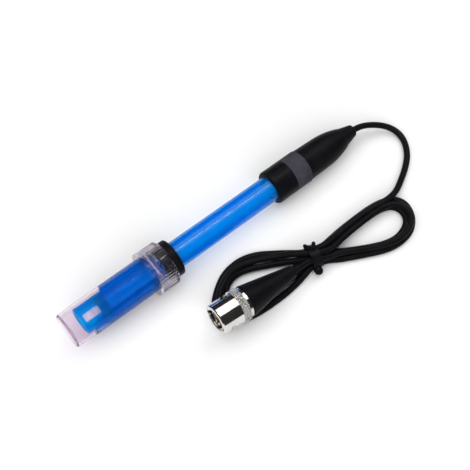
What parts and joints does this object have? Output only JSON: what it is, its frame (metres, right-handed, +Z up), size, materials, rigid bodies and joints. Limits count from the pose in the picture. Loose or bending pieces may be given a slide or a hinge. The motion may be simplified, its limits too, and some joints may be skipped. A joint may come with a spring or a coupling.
{
  "type": "ph electrode",
  "caption": "Blue pH electrode parked in a clear screw-cap storage bottle, with a black head, a tied lead and a bayonet coax plug; bottle unscrews and slides off, coupling shell turns.",
  "frame": {"origin": "on the floor under the middle of the electrode and its bottle, without the lead", "axes": "+X along the electrode from the storage bottle to the lead, +Z up, the tied lead lies on the -Y side"},
  "size_m": [0.1794, 0.0659, 0.0208],
  "materials": {
    "blue_tube": "clear blue moulded plastic",
    "glass": "clear laboratory glass",
    "black_rubber": "satin black rubber",
    "black_plastic": "satin black moulded plastic",
    "grey_band": "matt grey rubber",
    "clear_bottle": "clear moulded plastic",
    "clear_cap": "clear moulded plastic",
    "solution": "clear liquid",
    "silver_wire": "silver wire",
    "ceramic": "porous white ceramic",
    "cord_jacket": "satin black cable jacket",
    "nickel": "bright nickel plate",
    "white_insulator": "white insulator",
    "gold_pin": "gold plated contact"
  },
  "bodies": {
    "electrode": {"body_tube": "blue_tube", "glass_membrane": "glass", "stem_seal": "black_rubber", "junction_pin": "ceramic", "tube_stopper": "black_rubber", "inner_wire": "silver_wire", "reference_wire": "silver_wire", "cable_core": "white_insulator", "head_cap": "black_plastic", "grip_band": "grey_band", "strain_relief": "black_rubber", "plug_body": "nickel", "plug_insulator": "white_insulator", "centre_pin": "gold_pin", "plug_gasket": "black_rubber", "spring_washer": "nickel", "rear_collar": "nickel", "crimp_ferrule": "nickel", "plug_boot": "black_rubber", "cord_lead": "cord_jacket", "cord_hank": "cord_jacket", "cord_tail": "cord_jacket", "twist_tie": "black_plastic"},
    "cap": {"bottle_cap": "clear_cap", "cap_seal": "black_rubber"},
    "solution": {"storage_solution": "solution"},
    "bottle": {"storage_bottle": "clear_bottle"},
    "coupling_washer": {"thrust_washer": "nickel"},
    "coupling_shell": {"bayonet_shell": "nickel"}
  },
  "joints": [
    {"name": "cap_slide", "type": "slide", "parent": "electrode", "child": "cap", "axis": [-0.9996, 0, 0.0282], "range_m": [-0.004, 0.06]},
    {"name": "bottle_travel", "type": "slide", "parent": "cap", "child": "solution", "axis": [-0.9996, 0, 0.0282], "range_m": [0, 0.00625]},
    {"name": "bottle_turn", "type": "hinge", "parent": "solution", "child": "bottle", "pos_m": [-0.0724, 0, 0.01137], "axis": [-0.9996, 0, 0.0282], "range_deg": [0, 910]},
    {"name": "shell_push", "type": "slide", "parent": "electrode", "child": "coupling_washer", "axis": [-0.9935, 0.0559, 0.0989], "range_m": [0, 0.0008], "stiffness_N_per_m": 3000},
    {"name": "shell_turn", "type": "hinge", "parent": "coupling_washer", "child": "coupling_shell", "pos_m": [-0.0299, -0.0344, 0.0122], "axis": [0.9935, -0.0559, -0.0989], "continuous": true}
  ],
  "couplings": [
    {"joint": "bottle_turn", "follows": "bottle_travel", "rad_per_m": 2513.3}
  ]
}
